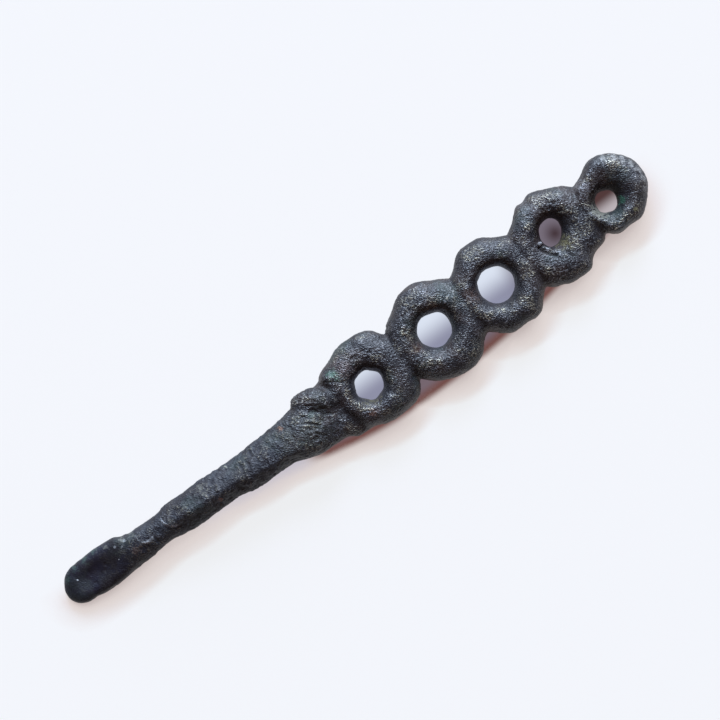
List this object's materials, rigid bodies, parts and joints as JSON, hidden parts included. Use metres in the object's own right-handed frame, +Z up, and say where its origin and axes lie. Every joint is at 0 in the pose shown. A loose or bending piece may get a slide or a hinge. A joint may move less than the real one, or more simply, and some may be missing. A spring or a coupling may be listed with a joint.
{
  "type": "ear spoon",
  "caption": "Small cast ear spoon with a dished scoop, a plain shaft, a twisted neck and an openwork handle of rings formed by two crossing strands.",
  "frame": {"origin": "under the middle of the spoon's bounding box, on the surface that it lies on", "axes": "+X along the spoon from the scoop's tip to the end ring, +Z up from the surface that it lies on"},
  "size_m": [0.065, 0.0098, 0.0043],
  "materials": {
    "scoop_patina": "smooth blue-black patina, satin",
    "shaft_patina": "pitted green-black patina with pale worn spots",
    "neck_patina": "rough green-black patina with green and rust-brown spots",
    "ring_patina": "finely pitted charcoal patina, silvery on the crests and brown in the hollows"
  },
  "bodies": {
    "root": {"scoop": "scoop_patina", "shaft": "shaft_patina", "neck": "neck_patina", "ring_1": "ring_patina", "ring_2": "ring_patina", "ring_3": "ring_patina", "ring_4": "ring_patina", "ring_5": "ring_patina"}
  },
  "joints": []
}
